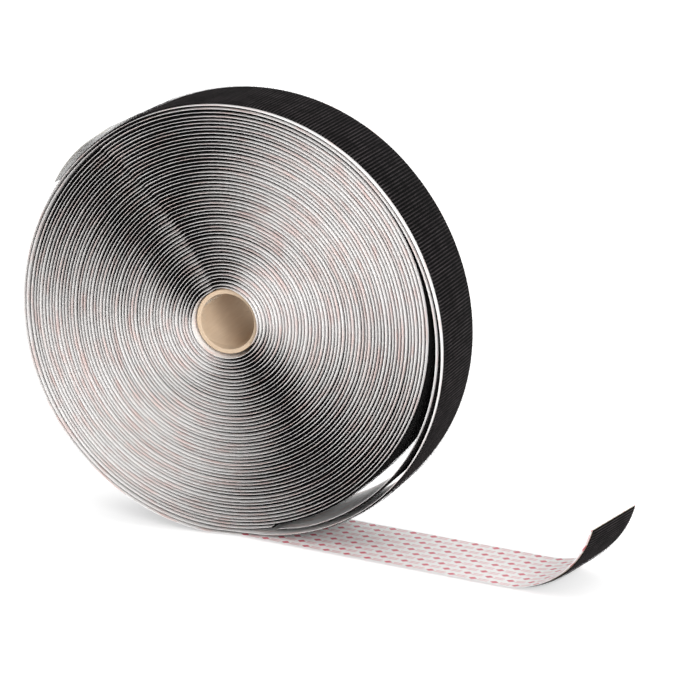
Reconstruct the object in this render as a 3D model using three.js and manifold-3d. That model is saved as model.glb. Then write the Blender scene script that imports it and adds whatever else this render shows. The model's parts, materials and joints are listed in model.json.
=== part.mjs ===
// A roll of self-adhesive hook tape on a cardboard core, standing on its edge.
// Millimetres, +Z up. The roll's axis lies along Y and the origin is on the floor under it.
// The tape is wound hooks outwards with its release liner inwards. Seen from the front (-Y) it runs
// outwards anticlockwise, leaves the roll at the floor and lies along +X, with its end curled up.
// Along the winding, a place is given in turns counted inwards from where the tape leaves the roll.

import * as THREE from 'three';
import { mergeVertices } from 'three/addons/utils/BufferGeometryUtils.js';
import Module from 'manifold-3d';

// Tape
const TAPE_WIDTH = 50;
const HOOK_THICKNESS = 1.0;
const LINER_THICKNESS = 0.35;
const LINER_OVERHANG = 3.2;
const ADHESIVE_THICKNESS = 0.25;
const LINER_CLEARANCE = 0.05;
const LAYER_GAP = 0.3;

// Cardboard core, flush with the tape in front and reaching past it at the back
const CORE_BORE = 32;
const CORE_WALL = 2.5;
const CORE_REACH = 22;
const CORE_EDGE_BREAK = 0.4;
const CORE_SEGMENTS = 48;

// Winding
const ALL_TURNS = 55;
const SLACK_TURNS = 2;
const WOUND_TURNS = 17;
const WOUND_STEPS = 24;
const SLACK_STEPS = 72;
const FLOOR_FLAT_DEPTH = 0.55;

// The slack turns stand off the pack at the lower right, between these two directions in degrees
const TAIL_ANGLE = 270;
const BULGE_START = 272;
const BULGE_SPAN = 133;
const BULGE_PEAK = 0.376;
const BULGE_LIFT = 6;
const BULGE_LIFT_PER_TURN = 2;
const SLACK_START_STEPS = 3;

// Laid tail and curled end
const TAIL_CUT = 12;
const TAIL_SWING = 11;
const TAIL_LENGTH = 171;
const CURL_RADIUS = 55;
const CURL_SWEEP = 75;
const CURL_STEPS = 15;
const PEEL_TAB_STEPS = 6;

// Clear binding strap: over the rim, down the front, through the bore and taut from the core's back
// end to the rim
const STRAP_ANGLE = 135;
const STRAP_RIM_WIDTH = 48;
const STRAP_BORE_WIDTH = 6;
const STRAP_THICKNESS = 0.4;
const STRAP_GAP = 0.35;
const STRAP_ARC_STEPS = 8;
const STRAP_CUT_ANGLE = 8;

// Worked out from the sizes above
const HALF_WIDTH = TAPE_WIDTH / 2;
const LINER_HALF_WIDTH = HALF_WIDTH + LINER_OVERHANG;
const TURN_PITCH = HOOK_THICKNESS + LINER_THICKNESS + 2 * LAYER_GAP;
const CORE_RADIUS = CORE_BORE / 2 + CORE_WALL;
const CORE_BACK = HALF_WIDTH + CORE_REACH;
const ROLL_RADIUS = CORE_RADIUS + LAYER_GAP + ALL_TURNS * TURN_PITCH;
const AXIS_HEIGHT = ROLL_RADIUS - FLOOR_FLAT_DEPTH;
const LINER_FACE = HOOK_THICKNESS + LAYER_GAP;
const STACK_DEPTH = LINER_FACE + LINER_THICKNESS;
const COAT_FACE = HOOK_THICKNESS + ADHESIVE_THICKNESS;
const LAID_LINER_FACE = COAT_FACE + LINER_CLEARANCE;
const LAID_TOP = LAID_LINER_FACE + LINER_THICKNESS;
const radians = THREE.MathUtils.degToRad;

const wasm = await Module();
wasm.setup();

function finish(color, roughness, opacity = 1) {
  return new THREE.MeshStandardMaterial({
    color,
    roughness,
    metalness: 0,
    opacity,
    transparent: opacity < 1,
    side: THREE.DoubleSide,
  });
}

const HOOK_BLACK = finish(0x17171a, 0.75);
const LINER_WHITE = finish(0xe9e7e3, 0.45);
const ADHESIVE_CLEAR = finish(0xd9cfae, 0.35);
const PACK_GREY = finish(0x4a494b, 0.6);
const KRAFT = finish(0xc39b6b, 0.85);
const CLEAR_FILM = finish(0xe8e4d8, 0.15, 0.4);

// How far the slack turns stand off the pack: a smooth skewed hump, zero at both its ends.
function slackLift(turns) {
  const angle = TAIL_ANGLE - 360 * turns;
  const along = THREE.MathUtils.euclideanModulo(angle - BULGE_START, 360) / BULGE_SPAN;
  if (along >= 1) return 0;
  const skew = Math.log(0.5) / Math.log(BULGE_PEAK);
  const hump = Math.sin(Math.PI * along ** skew) ** 2;
  const turnsOutside = SLACK_TURNS - 1 - Math.floor(turns);
  return hump * (BULGE_LIFT + BULGE_LIFT_PER_TURN * turnsOutside);
}

// Radius of the hook face. The slack turns are pressed flat where they lie on the floor and on each
// other, and the tight pack inside them is smaller by the depth of that flat.
function hookRadius(turns) {
  const free = ROLL_RADIUS - TURN_PITCH * turns;
  if (turns >= SLACK_TURNS) return free - FLOOR_FLAT_DEPTH;
  const down = -Math.sin(radians(TAIL_ANGLE - 360 * turns));
  const loose = free + slackLift(turns);
  if (down <= 0) return loose;
  const layersBelow = Math.round(turns);
  return Math.min(loose, (AXIS_HEIGHT - layersBelow * TURN_PITCH) / down);
}

// A station of a strip: a point on the hook face, the way in from it, and its sideways slant.
function windingStation(turns) {
  const angle = radians(TAIL_ANGLE - 360 * turns);
  const radius = hookRadius(turns);
  return {
    x: radius * Math.cos(angle),
    z: AXIS_HEIGHT + radius * Math.sin(angle),
    inX: -Math.cos(angle),
    inZ: -Math.sin(angle),
    slant: 0,
  };
}

function winding(fromTurns, toTurns, stepsPerLoop) {
  const count = Math.round((fromTurns - toTurns) * stepsPerLoop);
  return Array.from({ length: count + 1 }, (_, i) => windingStation(fromTurns - i / stepsPerLoop));
}

function facePoint(station, depth) {
  return { x: station.x + station.inX * depth, z: station.z + station.inZ * depth };
}

// A flat strip through stations, between two depths below its hook face. Four corners a station.
function stripGeometry(stations, halfWidth, fromDepth, toDepth) {
  const position = [];
  for (const station of stations) {
    const outer = facePoint(station, fromDepth);
    const inner = facePoint(station, toDepth);
    const lean = station.slant * halfWidth;
    position.push(outer.x - lean, -halfWidth, outer.z, outer.x + lean, halfWidth, outer.z);
    position.push(inner.x + lean, halfWidth, inner.z, inner.x - lean, -halfWidth, inner.z);
  }
  const index = [0, 2, 1, 0, 3, 2];
  for (let i = 0; i + 1 < stations.length; i += 1) {
    for (let k = 0; k < 4; k += 1) {
      const a = 4 * i + k;
      const b = 4 * i + ((k + 1) % 4);
      index.push(a, b, b + 4, a, b + 4, a + 4);
    }
  }
  const last = 4 * (stations.length - 1);
  index.push(last, last + 1, last + 2, last, last + 2, last + 3);
  const geometry = new THREE.BufferGeometry();
  geometry.setAttribute('position', new THREE.Float32BufferAttribute(position, 3));
  geometry.setIndex(index);
  geometry.computeVertexNormals();
  return geometry;
}

// Least distance from a winding's inner face to the outer face of the loop inside it, on points.
function leastSelfGap(stations, stepsPerLoop, fromDepth, toDepth) {
  let least = Infinity;
  for (let i = stepsPerLoop + 1; i < stations.length; i += 1) {
    const above = facePoint(stations[i], toDepth);
    for (let k = -1; k <= 1; k += 1) {
      const below = facePoint(stations[i - stepsPerLoop + k], fromDepth);
      least = Math.min(least, Math.hypot(above.x - below.x, above.z - below.z));
    }
  }
  return least;
}

function printSelfGap(name, stations, stepsPerLoop, fromDepth, toDepth) {
  const gap = leastSelfGap(stations, stepsPerLoop, fromDepth, toDepth);
  console.log(`${name}: least gap to itself ${gap.toFixed(2)} mm`);
}

// The hook strip and the wider liner of a winding, which lie inside one another all the way.
function woundPair(prefix, stations, stepsPerLoop) {
  const hookName = `${prefix}_hook_strip`;
  const linerName = `${prefix}_liner`;
  printSelfGap(hookName, stations, stepsPerLoop, 0, HOOK_THICKNESS);
  printSelfGap(linerName, stations, stepsPerLoop, LINER_FACE, STACK_DEPTH);
  return [
    named(hookName, stripGeometry(stations, HALF_WIDTH, 0, HOOK_THICKNESS), HOOK_BLACK),
    named(linerName, stripGeometry(stations, LINER_HALF_WIDTH, LINER_FACE, STACK_DEPTH), LINER_WHITE),
  ];
}

function named(name, geometry, material) {
  const mesh = new THREE.Mesh(geometry, material);
  mesh.name = name;
  return mesh;
}

// An outline in the X-Z plane carried across the roll from its front to its back.
function acrossRoll(shape, front, back) {
  const geometry = new THREE.ExtrudeGeometry(shape, { depth: back - front, bevelEnabled: false });
  geometry.rotateX(Math.PI / 2);
  geometry.translate(0, back, 0);
  return geometry;
}

function arcPoints(radius, fromAngle, toAngle, steps) {
  return Array.from({ length: steps + 1 }, (_, i) => {
    const angle = fromAngle + ((toAngle - fromAngle) * i) / steps;
    return new THREE.Vector2(radius * Math.cos(angle), radius * Math.sin(angle));
  });
}

function solidOf(geometry) {
  const bare = geometry.clone();
  bare.deleteAttribute('normal');
  bare.deleteAttribute('uv');
  const merged = mergeVertices(bare);
  const vertProperties = new Float32Array(merged.attributes.position.array);
  const triVerts = new Uint32Array(merged.index.array);
  return new wasm.Manifold(new wasm.Mesh({ numProp: 3, vertProperties, triVerts }));
}

function geometryOf(solid) {
  const mesh = solid.getMesh();
  const geometry = new THREE.BufferGeometry();
  geometry.setAttribute('position', new THREE.Float32BufferAttribute(mesh.vertProperties, 3));
  geometry.setIndex(Array.from(mesh.triVerts));
  geometry.computeVertexNormals();
  return geometry;
}

function coreTube() {
  const inner = CORE_BORE / 2;
  const edge = CORE_EDGE_BREAK;
  const profile = [
    [inner, -HALF_WIDTH + edge],
    [inner + edge, -HALF_WIDTH],
    [CORE_RADIUS - edge, -HALF_WIDTH],
    [CORE_RADIUS, -HALF_WIDTH + edge],
    [CORE_RADIUS, CORE_BACK - edge],
    [CORE_RADIUS - edge, CORE_BACK],
    [inner + edge, CORE_BACK],
    [inner, CORE_BACK - edge],
    [inner, -HALF_WIDTH + edge],
  ].map(([radius, y]) => new THREE.Vector2(radius, y));
  return named('core_tube', new THREE.LatheGeometry(profile, CORE_SEGMENTS), KRAFT);
}

// The turns next to the core are one body whose outside is the spiral that the next turn lies on.
function innerTurns(firstTurn) {
  const stepBack = LAYER_GAP / (2 * Math.PI * hookRadius(firstTurn));
  const outline = Array.from({ length: WOUND_STEPS + 1 }, (_, i) => {
    const turns = firstTurn + Math.max(i / WOUND_STEPS, stepBack);
    const angle = radians(TAIL_ANGLE - 360 * turns);
    const radius = hookRadius(turns);
    return new THREE.Vector2(radius * Math.cos(angle), radius * Math.sin(angle));
  });
  const lastAngle = radians(TAIL_ANGLE) - 2 * Math.PI * stepBack;
  const foot = hookRadius(firstTurn + 1);
  outline.push(new THREE.Vector2(foot * Math.cos(lastAngle), foot * Math.sin(lastAngle)));
  const shape = new THREE.Shape(outline.reverse());
  const bore = arcPoints(CORE_RADIUS + LAYER_GAP, 0, 2 * Math.PI, CORE_SEGMENTS).slice(0, -1);
  shape.holes.push(new THREE.Path(bore.reverse()));
  return named('inner_turns', acrossRoll(shape, -HALF_WIDTH, HALF_WIDTH), PACK_GREY);
}

// A fan of the strap's plan, from the bore out to the rim, opened by a further angle on both sides.
function strapFan(boreRadius, rimRadius, openBy) {
  const boreHalf = Math.asin(STRAP_BORE_WIDTH / 2 / boreRadius) + openBy;
  const rimHalf = Math.asin(STRAP_RIM_WIDTH / 2 / rimRadius) + openBy;
  const rim = arcPoints(rimRadius, -rimHalf, rimHalf, STRAP_ARC_STEPS);
  const bore = arcPoints(boreRadius, boreHalf, -boreHalf, STRAP_ARC_STEPS);
  return new THREE.Shape([...rim, ...bore]);
}

// The room inside the strap, or the strap's outside, by how far it stands off the roll. Its back slopes
// from the core's end down to the rim.
function strapBlock(gap, openBy) {
  const boreFace = (CORE_BORE / 2) * Math.cos(Math.PI / CORE_SEGMENTS) - gap;
  const rimFace = ROLL_RADIUS + gap;
  const front = -LINER_HALF_WIDTH - gap;
  const side = new THREE.Shape([
    new THREE.Vector2(0, front),
    new THREE.Vector2(rimFace + 1, front),
    new THREE.Vector2(rimFace + 1, LINER_HALF_WIDTH + gap),
    new THREE.Vector2(CORE_RADIUS + gap, CORE_BACK + gap),
    new THREE.Vector2(0, CORE_BACK + gap),
  ]);
  const slope = new THREE.ExtrudeGeometry(side, { depth: 2 * ROLL_RADIUS, bevelEnabled: false });
  slope.translate(0, 0, -ROLL_RADIUS);
  const fan = acrossRoll(strapFan(boreFace, rimFace, openBy), front, CORE_BACK + gap);
  return solidOf(fan).intersect(solidOf(slope));
}

// A closed band: the fan's block less a block that is smaller by the film all round its loop.
function bindingStrap() {
  const outside = strapBlock(STRAP_GAP + STRAP_THICKNESS, 0);
  const inside = strapBlock(STRAP_GAP, radians(STRAP_CUT_ANGLE));
  const strap = named('binding_strap', geometryOf(outside.subtract(inside)), CLEAR_FILM);
  strap.rotation.y = -radians(STRAP_ANGLE);
  return strap;
}

// The tight pack on its core, turning about the roll's axis.
function woundRoll() {
  const roll = new THREE.Group();
  const firstTurn = SLACK_TURNS + WOUND_TURNS;
  const aboutAxis = new THREE.Group();
  aboutAxis.position.z = AXIS_HEIGHT;
  aboutAxis.add(coreTube(), innerTurns(firstTurn), bindingStrap());
  const pack = winding(firstTurn, SLACK_TURNS, WOUND_STEPS);
  roll.add(aboutAxis);
  roll.add(...woundPair('wound', pack, WOUND_STEPS));
  return roll;
}

// The two loose turns round the pack. The last facet of the outer one lies flat on the floor under
// the roll's axis, and its end is cut along the tail's swing.
function slackTurns() {
  const turns = new THREE.Group();
  const start = SLACK_TURNS - SLACK_START_STEPS / SLACK_STEPS;
  const stations = winding(start, 1 / SLACK_STEPS, SLACK_STEPS);
  const slant = Math.tan(radians(TAIL_SWING));
  stations.push({ x: TAIL_CUT, z: 0, inX: 0, inZ: 1, slant });
  turns.add(...woundPair('slack', stations, SLACK_STEPS));
  return turns;
}

function curlStation(step) {
  const sweep = radians((CURL_SWEEP * step) / CURL_STEPS);
  return {
    x: TAIL_LENGTH + CURL_RADIUS * Math.sin(sweep),
    z: CURL_RADIUS * (1 - Math.cos(sweep)),
    inX: -Math.sin(sweep),
    inZ: Math.cos(sweep),
    slant: 0,
  };
}

// Stations of the curl between two steps. The first is moved on along its facet to leave a seam.
function curlStations(firstStep, lastStep) {
  const stations = Array.from({ length: lastStep - firstStep + 1 }, (_, i) => curlStation(firstStep + i));
  const [first, second] = stations;
  const along = LAYER_GAP / Math.hypot(second.x - first.x, second.z - first.z);
  for (const key of ['x', 'z', 'inX', 'inZ']) {
    first[key] = THREE.MathUtils.lerp(first[key], second[key], along);
  }
  return stations;
}

function laidLiner(name, stations) {
  return named(name, stripGeometry(stations, LINER_HALF_WIDTH, LAID_LINER_FACE, LAID_TOP), LINER_WHITE);
}

// The tape off the roll: a hook strip, the adhesive coat on its back and the liner over both.
function layers(prefix, stations, linerStations) {
  const hooks = stripGeometry(stations, HALF_WIDTH, 0, HOOK_THICKNESS);
  const coat = stripGeometry(stations, HALF_WIDTH, HOOK_THICKNESS, COAT_FACE);
  return [
    named(`${prefix}_hook_strip`, hooks, HOOK_BLACK),
    named(`${prefix}_adhesive`, coat, ADHESIVE_CLEAR),
    laidLiner(`${prefix}_liner`, linerStations),
  ];
}

function tail() {
  const laid = new THREE.Group();
  laid.position.x = TAIL_CUT;
  laid.rotation.z = -radians(TAIL_SWING);
  const flat = [LAYER_GAP, TAIL_LENGTH].map((x) => ({ x, z: 0, inX: 0, inZ: 1, slant: 0 }));
  const peelStart = CURL_STEPS - PEEL_TAB_STEPS;
  laid.add(...layers('tail', flat, flat));
  laid.add(...layers('end', curlStations(0, CURL_STEPS), curlStations(0, peelStart)));
  laid.add(laidLiner('liner_tab', curlStations(peelStart, CURL_STEPS)));
  return laid;
}

const hookTapeRoll = new THREE.Group();
hookTapeRoll.add(slackTurns(), woundRoll(), tail());

export default hookTapeRoll;
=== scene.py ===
# %% [markdown]
# # A roll of hook tape
#
# This lesson dresses a roll of self-adhesive hook tape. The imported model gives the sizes, the bodies that
# move and the joints between them. Here every strip gets the surface that the real one has: woven tape
# with rows of small hooks, a printed release liner, a cardboard core and a clear strap. Each shape is
# worked out with numpy as whole arrays in millimetres, and becomes a mesh in metres at the end.

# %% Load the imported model
import json

import bpy
import numpy as np
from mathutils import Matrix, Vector


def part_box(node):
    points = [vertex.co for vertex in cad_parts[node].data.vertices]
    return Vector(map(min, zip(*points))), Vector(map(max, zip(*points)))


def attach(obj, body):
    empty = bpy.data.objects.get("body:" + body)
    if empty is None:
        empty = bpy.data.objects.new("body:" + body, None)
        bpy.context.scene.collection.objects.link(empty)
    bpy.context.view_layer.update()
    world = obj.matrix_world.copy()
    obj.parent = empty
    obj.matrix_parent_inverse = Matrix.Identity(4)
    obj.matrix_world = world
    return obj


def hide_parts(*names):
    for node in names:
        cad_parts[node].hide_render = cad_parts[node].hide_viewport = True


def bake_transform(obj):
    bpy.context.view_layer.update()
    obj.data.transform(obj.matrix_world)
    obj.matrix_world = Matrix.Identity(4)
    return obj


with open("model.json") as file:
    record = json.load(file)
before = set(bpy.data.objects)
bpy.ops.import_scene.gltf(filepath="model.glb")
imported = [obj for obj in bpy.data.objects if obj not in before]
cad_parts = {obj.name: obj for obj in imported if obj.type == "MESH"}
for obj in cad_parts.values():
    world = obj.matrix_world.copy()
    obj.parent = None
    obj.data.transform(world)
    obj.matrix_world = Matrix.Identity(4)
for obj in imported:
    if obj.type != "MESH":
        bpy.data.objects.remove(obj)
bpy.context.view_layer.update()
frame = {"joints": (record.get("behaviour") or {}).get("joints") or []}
joints = {joint["name"]: joint for joint in frame["joints"]}
scene = bpy.context.scene
scene.view_settings.view_transform = "Standard"
print("joints:", sorted(joints))

# %% [markdown]
# ## Camera
#
# The photograph was taken a little to the right of the roll's axis and from above, with a long lens. The
# camera's place was fitted to the roll and the laid tail together. It is placed and aimed, and its picture
# isn't shifted, so that every other view stays centred.

# %% Place the camera
CAMERA_PLACE = Vector((0.6933, -1.7399, 0.6145))
CAMERA_AIM = Vector((0.0641, 0.0, 0.1086))
CAMERA_LENS_MM = 175.5
CAMERA_REACH = 50.0

camera_data = bpy.data.cameras.new("photo_camera")
camera_data.lens = CAMERA_LENS_MM
camera_data.clip_end = CAMERA_REACH
camera = bpy.data.objects.new("photo_camera", camera_data)
camera.location = CAMERA_PLACE
camera.rotation_euler = (CAMERA_AIM - CAMERA_PLACE).to_track_quat("-Z", "Y").to_euler()
scene.collection.objects.link(camera)
scene.camera = camera
print("camera stands", round((CAMERA_AIM - CAMERA_PLACE).length, 3), "m from its aim")

# %% [markdown]
# ## Node helpers
#
# A material is a small graph. Its nodes could be added one by one each time, but the same few steps come
# back in every finish, so helpers keep the graphs short: one starts a material with its shader, one adds a
# node and joins its inputs, and the rest do arithmetic, noise, ranges and bumps. A value that is the same
# all over the surface is set on the shader's own socket, and only what varies comes through a link.

# %% Node helpers
def start_material(name, roughness, specular):
    """A new node material and its Principled shader, with the constant values on the sockets."""
    material = bpy.data.materials.new(name)
    material.use_nodes = True
    shader = material.node_tree.nodes["Principled BSDF"]
    shader.inputs["Roughness"].default_value = roughness
    shader.inputs["Specular IOR Level"].default_value = specular
    return material, shader


def add_node(owner, kind, inputs, **settings):
    """A node of the owner's tree. Each input is a value, or a socket that is linked to it."""
    tree = owner.node_tree
    node = tree.nodes.new("ShaderNode" + kind)
    for key, value in settings.items():
        setattr(node, key, value)
    for key, value in inputs.items():
        if isinstance(value, bpy.types.NodeSocket):
            tree.links.new(value, node.inputs[key])
        else:
            node.inputs[key].default_value = value
    return node


def link(owner, output, shader, name):
    """Joins an output to a named input of the shader."""
    owner.node_tree.links.new(output, shader.inputs[name])


def calc(owner, operation, first, second=0.0):
    """The result of one arithmetic step on two values or sockets."""
    return add_node(owner, "Math", {0: first, 1: second}, operation=operation).outputs[0]


def mix_colours(owner, factor, first, second):
    """A colour between two, by a factor: Mix has its colours at inputs 6 and 7 and at output 2."""
    node = add_node(owner, "Mix", {0: factor, 6: first, 7: second}, data_type="RGBA")
    return node.outputs[2]


def ranged(owner, value, before, after):
    """A value carried evenly from one range to another, and kept inside it."""
    limits = dict(zip(("From Min", "From Max", "To Min", "To Max"), before + after))
    return add_node(owner, "MapRange", {"Value": value, **limits}).outputs[0]


def object_place(material):
    """The place on a piece in metres, which stays with the piece."""
    return add_node(material, "TexCoord", {}).outputs["Object"]


def noise(material, vector, scale, detail):
    """Soft noise between zero and one at a place."""
    return add_node(material, "TexNoise", {"Vector": vector, "Scale": scale, "Detail": detail}).outputs[0]


def roughen(material, shader, height, strength, depth):
    """Fine relief of a depth in metres, as a bump on the shader's normal."""
    bump = add_node(material, "Bump", {"Strength": strength, "Distance": depth, "Height": height})
    link(material, bump.outputs[0], shader, "Normal")


print("node helpers are ready")

# %% [markdown]
# ## Floor and light
#
# The roll stands on a white sweep under soft light. Area lamps would fade along the tail, so one sun with a
# wide angle works as a large soft box and lights the whole floor alike. It comes from the front and the
# right, so that the liner's edges catch it where they face right and up, and stay dark where they lie along
# it. The sky is dim, and brighter overhead and behind, which lights the tail. The floor is a plain pale
# diffuse sheet. What it lacks to white is added for camera, glossy and transmission rays only, so the
# object's light stays plain and the floor keeps its shadow near the roll.

# %% Floor, sky and sun
SUN_FROM = Vector((0.58, -0.76, 0.28))
SUN_STRENGTH = 3.4
SUN_ANGLE_DEG = 40.0
SKY_FROM = Vector((0.10, 0.60, 0.80))
SKY_LOW = 0.16
SKY_HIGH = 1.22
FLOOR_COLOUR = 0.78
FLOOR_GLOW = 0.50
FLOOR_SIZE = 12.0
WHITE = (1.0, 1.0, 1.0, 1.0)


def seen_directly(owner):
    """One for rays from the camera, from gloss and through clear film, and zero for diffuse light."""
    path = add_node(owner, "LightPath", {})
    seen = calc(owner, "MAXIMUM", path.outputs["Is Camera Ray"], path.outputs["Is Glossy Ray"])
    return calc(owner, "MAXIMUM", seen, path.outputs["Is Transmission Ray"])


def light_sky():
    """A sky of low + (high - low) max(0, way . brightest way), and plain white where it is seen."""
    world = bpy.data.worlds.new("studio")
    world.use_nodes = True
    scene.world = world
    nodes = world.node_tree.nodes
    way = add_node(world, "TexCoord", {}).outputs["Generated"]
    bright_way = {0: way, 1: SKY_FROM.normalized()}
    share = add_node(world, "VectorMath", bright_way, operation="DOT_PRODUCT").outputs["Value"]
    share = calc(world, "MAXIMUM", share, 0.0)
    strength = calc(world, "ADD", calc(world, "MULTIPLY", share, SKY_HIGH - SKY_LOW), SKY_LOW)
    nodes["Background"].inputs["Color"].default_value = WHITE
    link(world, strength, nodes["Background"], "Strength")
    white = add_node(world, "Background", {"Color": WHITE, "Strength": 1.0})
    dim = nodes["Background"].outputs[0]
    both = add_node(world, "MixShader", {0: seen_directly(world), 1: dim, 2: white.outputs[0]})
    link(world, both.outputs[0], nodes["World Output"], "Surface")


def light_sun():
    """One wide sun."""
    lamp = bpy.data.lights.new("soft_sun", "SUN")
    lamp.energy = SUN_STRENGTH
    lamp.angle = np.radians(SUN_ANGLE_DEG)
    sun = bpy.data.objects.new("soft_sun", lamp)
    sun.rotation_euler = (-SUN_FROM).to_track_quat("-Z", "Y").to_euler()
    scene.collection.objects.link(sun)


def lay_floor():
    """A flat sheet whose missing white is added only where it is seen."""
    half = FLOOR_SIZE / 2
    corners = [(-half, -half, 0.0), (half, -half, 0.0), (half, half, 0.0), (-half, half, 0.0)]
    mesh = bpy.data.meshes.new("floor")
    mesh.from_pydata(corners, [], [(0, 1, 2, 3)])
    material = bpy.data.materials.new("white_floor")
    material.use_nodes = True
    tree = material.node_tree
    tree.nodes.remove(tree.nodes["Principled BSDF"])
    sheet = add_node(material, "BsdfDiffuse", {"Color": (FLOOR_COLOUR,) * 3 + (1.0,)})
    strength = calc(material, "MULTIPLY", seen_directly(material), FLOOR_GLOW)
    glow = add_node(material, "Emission", {"Color": WHITE, "Strength": strength})
    both = add_node(material, "AddShader", {0: sheet.outputs[0], 1: glow.outputs[0]})
    link(material, both.outputs[0], tree.nodes["Material Output"], "Surface")
    mesh.materials.append(material)
    floor = bpy.data.objects.new("floor", mesh)
    scene.collection.objects.link(floor)


light_sky()
light_sun()
lay_floor()
print("sun", SUN_STRENGTH, "sky", SKY_LOW, "to", SKY_HIGH, "floor glow", FLOOR_GLOW)

# %% [markdown]
# ## Meshes from arrays
#
# Every strip on this roll is one profile carried along a path. A bevelled curve would do for one plain
# strip, but here the profile changes from place to place, so the points are worked out instead. The profile
# is a closed ring of points in two directions, across the tape and outwards from it, and the path is a row
# of stations. The result is a grid of points that closes on itself across and has a cap at both ends. A
# signed volume tells whether its faces point outwards, and they are turned round if they don't.

# %% Mesh helpers
MM = 0.001
SHARP_ANGLE = np.radians(38.0)


def ring_faces(rows, columns):
    """Quads between neighbouring rows of a grid that closes on itself across."""
    row = np.arange(rows - 1)[:, None] * columns
    here = np.arange(columns)[None, :]
    beside = (here + 1) % columns
    following = row + columns
    quads = np.stack([row + here, row + beside, following + beside, following + here], axis=2)
    return quads.reshape(-1, 4)


def signed_volume(points, faces):
    """Volume inside quads: a sixth of the sum of their triangles' triple products."""
    a, b, c, d = (points[faces[:, k]] for k in range(4))
    return (np.sum(a * np.cross(b, c)) + np.sum(a * np.cross(c, d))) / 6


def make_piece(name, points, faces, caps, material, uv=None):
    """A mesh object at the origin from points in millimetres, quads, end caps and a place on the tape."""
    middle = points.mean(axis=0)
    if signed_volume(points - middle, faces) < 0:
        faces = faces[:, ::-1]
        caps = [cap[::-1] for cap in caps]
    mesh = bpy.data.meshes.new(name)
    mesh.from_pydata(points * MM, [], faces.tolist() + [cap.tolist() for cap in caps])
    mesh.shade_smooth()
    mesh.set_sharp_from_angle(angle=SHARP_ANGLE)
    if uv is not None:
        corner = np.empty(len(mesh.loops), dtype=np.int32)
        mesh.loops.foreach_get("vertex_index", corner)
        mesh.uv_layers.new(name="tape").data.foreach_set("uv", uv[corner].astype(np.float32).ravel())
    mesh.materials.append(material)
    piece = bpy.data.objects.new(name, mesh)
    scene.collection.objects.link(piece)
    triangles = sum(len(face.vertices) - 2 for face in mesh.polygons)
    print(f"{name}: {len(points)} points, {triangles} triangles")
    return piece


def carry(name, stations, profile, material):
    """A profile carried along stations: point = path + outward * out + sideways * across."""
    path, outward, sideways, along = stations
    profile = np.broadcast_to(profile, (len(path),) + profile.shape[1:])
    grid = path[:, None] + outward[:, None] * profile[:, :, 1:] + sideways[:, None] * profile[:, :, :1]
    rows, columns = grid.shape[:2]
    place = np.stack([np.broadcast_to(along[:, None], (rows, columns)), profile[:, :, 0]], axis=2)
    caps = [np.arange(columns)[::-1], np.arange(columns) + (rows - 1) * columns]
    faces = ring_faces(rows, columns)
    return make_piece(name, grid.reshape(-1, 3), faces, caps, material, place.reshape(-1, 2))


print("mesh helpers are ready")

# %% [markdown]
# ## The winding
#
# The tape leaves the roll at the floor and runs inwards from there, so a place on it is a number of turns
# counted from the floor. Its radius shrinks by one pitch a turn. The two outer turns are slack: they
# stand off the pack at the lower right in a smooth skewed hump, and the floor presses them flat at the
# bottom. The turns could be rings inside each other, but then no strip would run on from one to the next.
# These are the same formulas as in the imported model, so every strip lies where its solid is.

# %% The winding's formula
core_low, core_high = (np.array(corner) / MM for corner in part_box("core_tube"))
hook_low, hook_high = (np.array(corner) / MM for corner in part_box("wound_hook_strip"))
liner_low, liner_high = (np.array(corner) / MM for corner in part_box("wound_liner"))
AXIS_HEIGHT = (core_low[2] + core_high[2]) / 2
HALF_WIDTH = (hook_high[1] - hook_low[1]) / 2
LINER_OVERHANG = (liner_high[1] - liner_low[1]) / 2 - HALF_WIDTH
TURN_PITCH = 1.95
FLOOR_FLAT_DEPTH = 0.55
ROLL_RADIUS = AXIS_HEIGHT + FLOOR_FLAT_DEPTH
SLACK_TURNS = 2
TAIL_ANGLE = 270.0
BULGE_START = 272.0
BULGE_SPAN = 133.0
BULGE_PEAK = 0.376
BULGE_LIFT = 6.0
BULGE_LIFT_PER_TURN = 2.0
LEAST_SLOPE = 1e-6


def slack_lift(turns):
    """Height of the slack turns over the pack: the square of a sine whose peak is moved by a power."""
    along = np.mod(TAIL_ANGLE - 360.0 * turns - BULGE_START, 360.0) / BULGE_SPAN
    skew = np.log(0.5) / np.log(BULGE_PEAK)
    hump = np.sin(np.pi * np.clip(along, 0.0, 1.0) ** skew) ** 2
    return hump * (BULGE_LIFT + BULGE_LIFT_PER_TURN * (SLACK_TURNS - 1 - np.floor(turns)))


def slack_radius(turns):
    """Radius of the hook face on the slack turns, cut off by the floor and by the layers below."""
    down = -np.sin(np.radians(TAIL_ANGLE - 360.0 * turns))
    loose = ROLL_RADIUS - TURN_PITCH * turns + slack_lift(turns)
    pressed = (AXIS_HEIGHT - np.round(turns) * TURN_PITCH) / np.maximum(down, LEAST_SLOPE)
    return np.where(down > 0, np.minimum(loose, pressed), loose)


def lengths_along(path):
    """Length along a row of points, from its first one."""
    steps = np.linalg.norm(np.diff(path, axis=0), axis=1)
    return np.concatenate([[0.0], np.cumsum(steps)])


def round_stations(turns, radius):
    """Stations of a winding: points at a radius about the axis, the ways out and sideways, the length."""
    angle = np.radians(TAIL_ANGLE - 360.0 * turns)
    outward = np.stack([np.cos(angle), np.zeros_like(angle), np.sin(angle)], axis=1)
    path = outward * radius[:, None] + (0.0, 0.0, AXIS_HEIGHT)
    sideways = np.tile((0.0, 1.0, 0.0), (len(turns), 1))
    return path, outward, sideways, lengths_along(path)


def stations_at(stations, at):
    """Path, outward and sideways directions at given lengths along a strip, by linear interpolation."""
    along = stations[3]
    return [np.stack([np.interp(at, along, part[:, k]) for k in range(3)], axis=1) for part in stations[:3]]


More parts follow.
